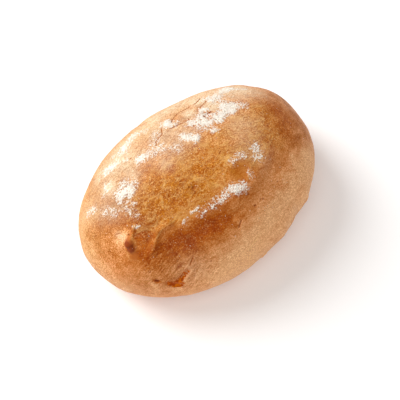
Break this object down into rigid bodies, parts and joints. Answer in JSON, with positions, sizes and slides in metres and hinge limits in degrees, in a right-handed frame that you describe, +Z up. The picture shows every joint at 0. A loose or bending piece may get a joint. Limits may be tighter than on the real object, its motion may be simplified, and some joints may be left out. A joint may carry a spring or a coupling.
{
  "type": "bread roll",
  "caption": "Oval wheat bread roll with a domed, flour-dusted crust, a pinched nub at one end and a flat base it rests on.",
  "frame": {"origin": "under the middle of the roll's box, on the plane of the flat base", "axes": "+X along the roll's length, away from the end with the nub; +Y across it, away from the side with the tear; +Z up out of the flat base"},
  "size_m": [0.1098, 0.0758, 0.0502],
  "materials": {
    "crust": "baked crust, golden to chestnut brown, matt with a faint gloss, dusted with flour"
  },
  "bodies": {
    "root": {"bread_roll": "crust"}
  },
  "joints": []
}
